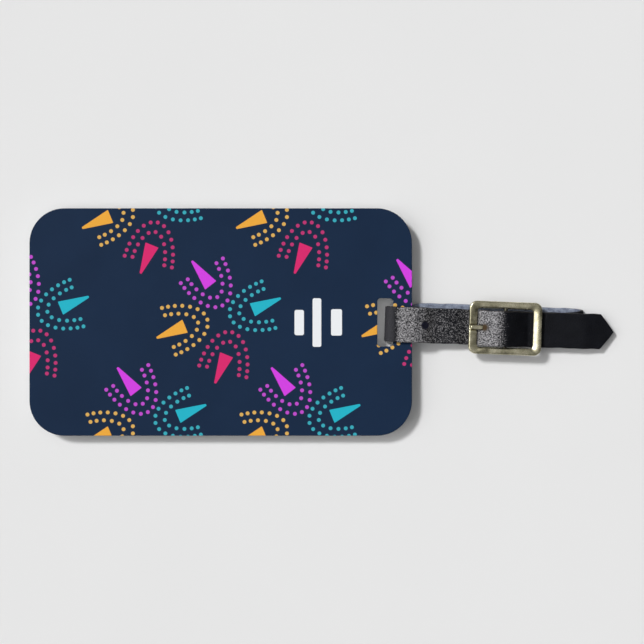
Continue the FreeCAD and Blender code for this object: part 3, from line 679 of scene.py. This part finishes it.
def uprightCutter(name, middleX, half, radius, heights):
    # A rounded rectangle drawn up between two heights.
    shape = outline(8, 8, 10)
    halfX, halfY, corner = (np.full((2, 1), size) for size in (*half, radius))
    x, y = roundedRectangle(shape, halfX, halfY, corner)
    grid = np.stack([x + middleX, y, np.broadcast_to(np.array(heights)[:, None], x.shape)], axis=-1)
    return newPiece(name, [layOnStrap(grid)], False, [cut])


def slitCutter(name, size):
    # A rounded rectangle carried along the prong's own line, so the hole goes through the leather the way
    # that the prong does.
    shape = outline(8, 8, 10)
    x = np.array([size["from"], size["to"]])[:, None]
    wide, thick = np.full((2, 1), size["halfWide"]), np.full((2, 1), size["halfThick"])
    y, z = roundedRectangle(shape, wide, thick, np.full((2, 1), size["corner"]))
    z = z + prongSize["pin"][1] + (prongSize["pin"][0] - x) * math.tan(math.radians(size["slope"]))
    return newPiece(name, [layOnStrap(np.stack([np.broadcast_to(x, y.shape), y, z], axis=-1))], False, [cut])


def cutAway(piece, cutters):
    # Takes the cutters out of the piece for good, and the walls of the cuts keep the cutters' material.
    for cutter in cutters:
        modifier = piece.modifiers.new("cut", "BOOLEAN")
        modifier.operation = "DIFFERENCE"
        modifier.solver = "EXACT"
        modifier.material_mode = "TRANSFER"
        modifier.object = cutter
    bpy.context.view_layer.update()
    graph = bpy.context.evaluated_depsgraph_get()
    mesh = bpy.data.meshes.new_from_object(piece.evaluated_get(graph))
    piece.modifiers.clear()
    piece.data = mesh
    for cutter in cutters:
        bpy.data.objects.remove(cutter)


def leatherStrap():
    # Outside of the loops is grain, inside is flesh, and the rounded sides are painted edge. The skived
    # fold round the pin shows grain on both sides.
    s, out, thickness, points = strapPoints()
    side = out[:-1] / (thickness[:-1, None] / 2)
    flat = strapSize["flatShare"]
    kind = np.where(side > flat, 0, np.where(side < -flat, 1, 2))
    fold = s[:-1] < strapSize["foldEnd"]
    kind[fold] = np.where(kind[fold] == 1, 0, kind[fold])
    kind = np.concatenate([kind.ravel(), [2, 2]]).astype(np.int32)
    strap = newPiece("leather_strap", [points], False, [grain, flesh, edge, cut], kind)
    holeX, holeRadius = strapSize["hole"]
    slotStart, slotEnd, slotHalf = strapSize["prongSlot"]
    cutAway(strap, [
        uprightCutter("punch", holeX, (holeRadius, holeRadius), holeRadius, strapSize["holeHeights"]),
        slitCutter("slit", strapSize["slit"]),
        uprightCutter("eye", (slotStart + slotEnd) / 2, ((slotEnd - slotStart) / 2, slotHalf),
                      strapSize["slotCorner"], strapSize["slotHeights"]),
    ])
    strap.data.shade_smooth()
    strap.data.set_sharp_from_angle(angle=math.radians(50))
    return strap


strap = leatherStrap()
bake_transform(strap)
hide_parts("strap_slot_loop", "strap_flex_top", "strap_flex_bottom", "strap_handle_loop",
            "strap_buckle_fold", "strap_free_run")
print("strap made")


stitchSize = {"x": 79.6, "middles": (-3.3, -1.1, 1.1, 3.3), "half": 0.6, "corner": 0.25,
              "bottom": 1.5, "top": 2.78, "thread": 0.15}


def stitchPoints(middle):
    # A thin tube round a rounded rectangle that stands across the strap.
    shape = outline(6, 6, 6)
    size = stitchSize
    halfUp = (size["top"] - size["bottom"]) / 2
    y, z = roundedRectangle(shape, size["half"], halfUp, size["corner"])
    across = np.stack([np.gradient(y), np.gradient(z)], axis=1)
    across /= np.hypot(*across.T)[:, None]
    turn = np.linspace(0, 2 * math.pi, 12, endpoint=False)[None, :]
    side, out = size["thread"] * np.cos(turn), size["thread"] * np.sin(turn)
    points = np.stack([size["x"] + side + 0 * y[:, None], y[:, None] + across[:, 1:] * out + middle,
                       z[:, None] - across[:, :1] * out + (size["top"] + size["bottom"]) / 2], axis=-1)
    return layOnStrap(points)


stitchGrids = [stitchPoints(middle) for middle in stitchSize["middles"]]
stitches = newPiece("thread_stitches", stitchGrids, True, [waxedThread()])
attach(stitches, "strap")
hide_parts("fold_stitches")

buckleSize = {"middle": (75.6, 0), "half": (9.7, 7.05), "corner": 2.0,
              "windowMiddle": (75.55, 0), "windowHalf": (7.45, 5.15), "windowCorner": 0.9,
              "z": 4.35, "halfHeight": 0.8, "square": (3.2, 2.4),
              "lean": 0.3, "leanFrom": 0.6, "notch": 0.36, "notchHalf": 0.82}


def bucklePoints():
    # Between the outer and the inner outline the section is a rounded square: across is the cosine and up
    # is the sine, both to the power 2 / square, which goes from flat at the left bar to round at the right
    # one. The tops of the two end bars lean in towards the window, and the left one sinks in a notch in its
    # middle.
    size = buckleSize
    shape = outline(22, 30, 12)
    outerX, outerY = roundedRectangle(shape, *size["half"], size["corner"])
    innerX, innerY = roundedRectangle(shape, *size["windowHalf"], size["windowCorner"])
    outerX, innerX = outerX + size["middle"][0], innerX + size["windowMiddle"][0]
    turn = np.linspace(0, 2 * math.pi, 32, endpoint=False)[None, :]
    share = ((outerX - size["middle"][0]) / size["half"][0] + 1)[:, None] / 2
    power = 2 / (size["square"][0] + (size["square"][1] - size["square"][0]) * share ** 3)
    across = np.sign(np.cos(turn)) * np.abs(np.cos(turn)) ** power
    up = np.sign(np.sin(turn)) * np.abs(np.sin(turn)) ** power
    x = (outerX + innerX)[:, None] / 2 + (outerX - innerX)[:, None] / 2 * across
    y = (outerY + innerY)[:, None] / 2 + (outerY - innerY)[:, None] / 2 * across
    notch = np.exp(-(np.abs(y) / size["notchHalf"]) ** 6) * (x < size["middle"][0])
    up = np.where(up > 0, up * (1 - size["notch"] * notch / size["halfHeight"]), up)
    ends = np.clip((np.abs(outerX - size["middle"][0]) - size["windowHalf"][0] + 1) / 2, 0, 1)[:, None]
    lean = size["lean"] * ends * (across - size["leanFrom"]) * np.maximum(up, 0)
    return layOnStrap(np.stack([x, y, size["z"] + size["halfHeight"] * up + lean], axis=-1))


buckle = newPiece("brass_buckle_frame", [bucklePoints()], True, [brass])
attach(buckle, "buckle")
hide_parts("buckle_frame")


def prongPoints():
    # A flat strip curled round the pin, then led out along a straight line to its rounded tip. It is widest
    # at the curl, fades to the tongue's width past it, and both its ends close as quarter circles.
    size = prongSize
    angles = np.radians([-148, -120, -90, -60, -30, 0, 30, 60, 85, 105])
    curl = np.stack([size["curl"] * np.cos(angles), size["curl"] * np.sin(angles)], axis=1)
    lean = math.radians(size["slope"])
    distances = np.array([1.9, 2.7, 4.2, 6.2, 8.2, size["reach"]])
    tongue = np.stack([-distances * math.cos(lean), distances * math.sin(lean)], axis=1)
    path = smoothLine(np.concatenate([curl, tongue]), 110) + np.array(size["pin"])
    tangent = np.gradient(path, axis=0)
    tangent /= np.hypot(*tangent.T)[:, None]
    s = np.concatenate([[0], np.cumsum(np.hypot(*np.diff(path, axis=0).T))])
    onEye = 1 - np.clip((s - size["eyeEnd"]) / size["eyeFade"], 0, 1)
    onEye = onEye ** 2 * (3 - 2 * onEye)
    toTip = np.clip((s[-1] - s) / size["taper"], 0, 1)
    wide = size["tipHalf"] + (size["tongueHalf"] - size["tipHalf"]) * toTip
    thick = size["tipThick"] + (size["tongueThick"] - size["tipThick"]) * toTip
    wide = wide + (size["eyeHalf"] - wide) * onEye
    thick = thick + (size["eyeThick"] - thick) * onEye
    fromEnd = np.clip(np.minimum(s[-1] - s, s) / size["endRound"], 0, 1)
    ending = np.sqrt(np.clip(1 - (1 - fromEnd) ** 2, 0.02, 1))
    wide, thick = (wide * ending)[:, None], (thick * ending)[:, None]
    shape = outline(5, 4, 5)
    across, out = roundedRectangle(shape, wide, thick, size["corner"])
    x = path[:, :1] - tangent[:, 1:] * out
    z = path[:, 1:] + tangent[:, :1] * out
    return layOnStrap(np.stack([x, across, z], axis=-1))


prong = newPiece("brass_buckle_prong", [prongPoints()], False, [brass])
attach(prong, "prong")
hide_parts("buckle_prong")

for node, material in (("buckle_pin", darkBrass), ("back_cover", clearAcrylic()),
                       ("card_spacer_frame", greyFoam()), ("id_card", ruledCard())):
    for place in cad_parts[node].material_slots:
        place.material = material
print("buckle and stitches made")


stageSize = {"slotFill": 0.00006, "slotPlace": (0.04255, -0.0001, 0.0043), "slotReach": (0.0017, 0.0122),
             "floor": 3.0, "sun": 2.28, "sunTurn": (-0.78, 0.62), "sunHeight": 51, "sunAngle": 10,
             "sky": 0.24, "tones": [(0.0, 0.5), (0.5, 0.75), (0.9, 1.3), (1.0, 1.6)],
             "panel": 8.0, "panelMiddle": -0.62, "panelReach": 0.27, "panelBlur": 0.08, "panelHalf": 0.35}


def makeStage():
    mesh = bpy.data.meshes.new("floor")
    reach = stageSize["floor"]
    corners = [(-reach, -reach, 0), (reach, -reach, 0), (reach, reach, 0), (-reach, reach, 0)]
    mesh.from_pydata(corners, [], [(0, 1, 2, 3)])
    mesh.materials.append(paleFloor())
    floor = bpy.data.objects.new("floor", mesh)
    floor.location.z = -0.00002
    bpy.context.scene.collection.objects.link(floor)
    light = bpy.data.lights.new("key", "SUN")
    light.energy = stageSize["sun"]
    light.angle = math.radians(stageSize["sunAngle"])
    key = bpy.data.objects.new("key", light)
    level = Vector((*stageSize["sunTurn"], 0)).normalized() * math.cos(math.radians(stageSize["sunHeight"]))
    toLight = level + Vector((0, 0, math.sin(math.radians(stageSize["sunHeight"]))))
    key.rotation_euler = toLight.to_track_quat("Z", "Y").to_euler()
    bpy.context.scene.collection.objects.link(key)
    # A small lamp in the top of the slot faces the floor and can't be seen from above.
    fill = bpy.data.lights.new("slot_fill", "AREA")
    fill.shape = "RECTANGLE"
    fill.size, fill.size_y = stageSize["slotReach"]
    fill.energy = stageSize["slotFill"]
    lamp = bpy.data.objects.new("slot_fill", fill)
    lamp.location = stageSize["slotPlace"]
    bpy.context.scene.collection.objects.link(lamp)
    world = bpy.data.worlds.new("studio")
    bpy.context.scene.world = world
    world.use_nodes = True
    tree = world.node_tree
    place = tree.nodes.new("ShaderNodeTexCoord")
    split = tree.nodes.new("ShaderNodeSeparateXYZ")
    tree.links.new(place.outputs["Generated"], split.inputs[0])
    side, front, up = (wire(tree, split.outputs[k]) for k in (0, 1, 2))
    tone = wire(tree, ramp(tree, up.socket, stageSize["tones"]))
    # A tall soft panel to the left, there for its reflection in the metal.
    panel = (side - stageSize["panelMiddle"]).abs().below(stageSize["panelReach"], stageSize["panelBlur"])
    panel = panel * front.abs().below(stageSize["panelHalf"], 0.1) * up.math("GREATER_THAN", 0.0)
    back = tree.nodes["Background"]
    tree.links.new((tone + panel * stageSize["panel"]).socket, back.inputs["Color"])
    back.inputs["Strength"].default_value = stageSize["sky"]


cameraSize = {"x": 0.0269, "y": 0.0, "z": 0.0046, "wide": 0.171, "lens": 85}


def makeCamera():
    data = bpy.data.cameras.new("camera")
    data.lens = cameraSize["lens"]
    data.clip_start = 0.01
    data.dof.use_dof = False
    camera = bpy.data.objects.new("camera", data)
    distance = cameraSize["wide"] * data.lens / data.sensor_width
    camera.location = (cameraSize["x"], cameraSize["y"], cameraSize["z"] + distance)
    bpy.context.scene.collection.objects.link(camera)
    bpy.context.scene.camera = camera


makeStage()
makeCamera()
bpy.context.scene.view_settings.view_transform = "Standard"
